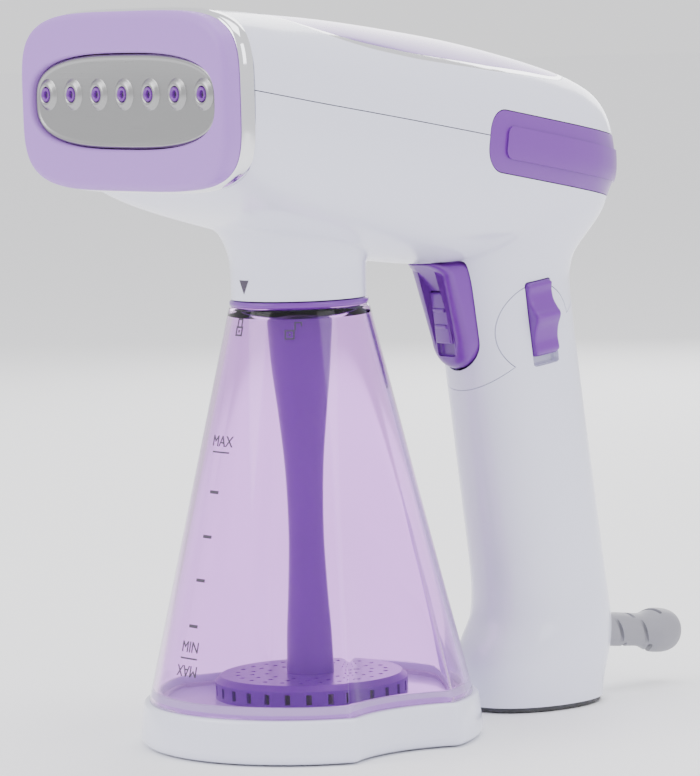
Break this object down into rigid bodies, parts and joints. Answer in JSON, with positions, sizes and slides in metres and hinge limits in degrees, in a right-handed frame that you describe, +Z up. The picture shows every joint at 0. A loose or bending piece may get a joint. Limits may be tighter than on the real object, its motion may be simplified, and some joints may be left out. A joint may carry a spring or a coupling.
{
  "type": "garment steamer",
  "caption": "Handheld garment steamer: wide steam head on a pistol handle, with a conical twist-off water tank it stands on.",
  "frame": {"origin": "centre of the flat pad under the tank, on the tank's axis, at table level", "axes": "+Z up along the tank's axis; -Y is where the steam face looks; +X is the side with the power slider"},
  "size_m": [0.124, 0.2478, 0.2603],
  "materials": {
    "white_shell": "glossy moulded white plastic",
    "black_plastic": "matte black plastic",
    "screw_steel": "plated steel",
    "purple_lens": "tinted glossy cover",
    "chrome": "polished chrome plating",
    "purple_plastic": "satin purple plastic",
    "lilac_plastic": "fine matte lilac plastic",
    "silicone": "translucent silicone",
    "satin_steel": "satin stainless steel",
    "aluminium": "die-cast aluminium",
    "mica": "pressed mica sheet",
    "copper": "enamelled copper winding",
    "natural_plastic": "unpainted nylon",
    "black_rubber": "black rubber",
    "circuit_board": "green circuit board",
    "grey_plastic": "grey plastic",
    "grey_rubber": "soft grey plastic",
    "tank_clear": "clear violet plastic",
    "print_ink": "printed dark marks"
  },
  "bodies": {
    "housing": {"upper_housing": "white_shell", "lower_housing": "white_shell", "handle_shell": "white_shell", "foot_plate": "black_plastic", "foot_screws": "screw_steel", "neck_collar": "white_shell", "top_cover": "purple_lens", "top_trim": "chrome", "rear_grip": "purple_plastic", "chrome_band": "chrome", "face_bezel": "lilac_plastic", "plate_gasket": "silicone", "nozzle_plate": "satin_steel", "nozzle_tips": "purple_plastic", "steam_chamber": "aluminium", "chamber_lid": "aluminium", "heating_element": "screw_steel", "heat_shield": "mica", "chamber_screws": "screw_steel", "thermostat": "black_plastic", "thermal_fuse": "screw_steel", "water_hose": "silicone", "inlet_hose": "silicone", "pump_coil": "copper", "pump_frame": "screw_steel", "pump_tube": "natural_plastic", "pump_mounts": "black_rubber", "pump_spring": "screw_steel", "control_board": "circuit_board", "bayonet_ring": "grey_plastic", "inlet_nozzle": "grey_plastic", "neck_seal": "silicone", "micro_switch": "black_plastic", "trigger_pin": "screw_steel", "trigger_spring": "screw_steel", "power_switch": "black_plastic", "terminal_block": "natural_plastic", "cord_clamp": "black_plastic", "clamp_screws": "screw_steel", "strain_relief": "grey_rubber"},
    "tank": {"tank_shell": "tank_clear", "tank_base": "white_shell", "base_seal": "silicone", "tank_ring": "purple_plastic", "tank_seal": "silicone", "tank_valve": "grey_plastic", "suction_tube": "purple_plastic", "strainer": "purple_plastic", "tank_marks": "print_ink"},
    "trigger_lever": {"trigger": "purple_plastic"},
    "lock_slide": {"trigger_lock": "purple_plastic"},
    "power_slide": {"power_slider": "purple_plastic"},
    "pump_core": {"pump_plunger": "screw_steel"},
    "switch_button": {"switch_plunger": "grey_plastic"}
  },
  "joints": [
    {"name": "tank_twist", "type": "hinge", "parent": "housing", "child": "tank", "pos_m": [0, 0, 0.1], "axis": [0, 0, 1], "range_deg": [-45, 0]},
    {"name": "trigger_squeeze", "type": "hinge", "parent": "housing", "child": "trigger_lever", "pos_m": [0, 0.066, 0.171], "axis": [1, 0, 0], "range_deg": [0, 6], "stiffness_Nm_per_rad": 0.6, "springref_deg": -8.59, "deforming": ["trigger_spring"]},
    {"name": "lock_slide", "type": "slide", "parent": "trigger_lever", "child": "lock_slide", "axis": [0, 0.1256, -0.9921], "range_m": [0, 0.0044]},
    {"name": "power_slide", "type": "slide", "parent": "housing", "child": "power_slide", "axis": [0, 0.1256, -0.9921], "range_m": [0, 0.0034]},
    {"name": "pump_stroke", "type": "slide", "parent": "housing", "child": "pump_core", "axis": [0, 1, 0], "range_m": [0, 0.003], "stiffness_N_per_m": 300, "springref_m": -0.002, "deforming": ["pump_spring"]},
    {"name": "switch_press", "type": "slide", "parent": "housing", "child": "switch_button", "axis": [0, 0.9921, 0.1256], "range_m": [0, 0.0025]}
  ],
  "couplings": [
    {"joint": "switch_press", "follows": "trigger_squeeze", "m_per_rad": 0.023849}
  ]
}
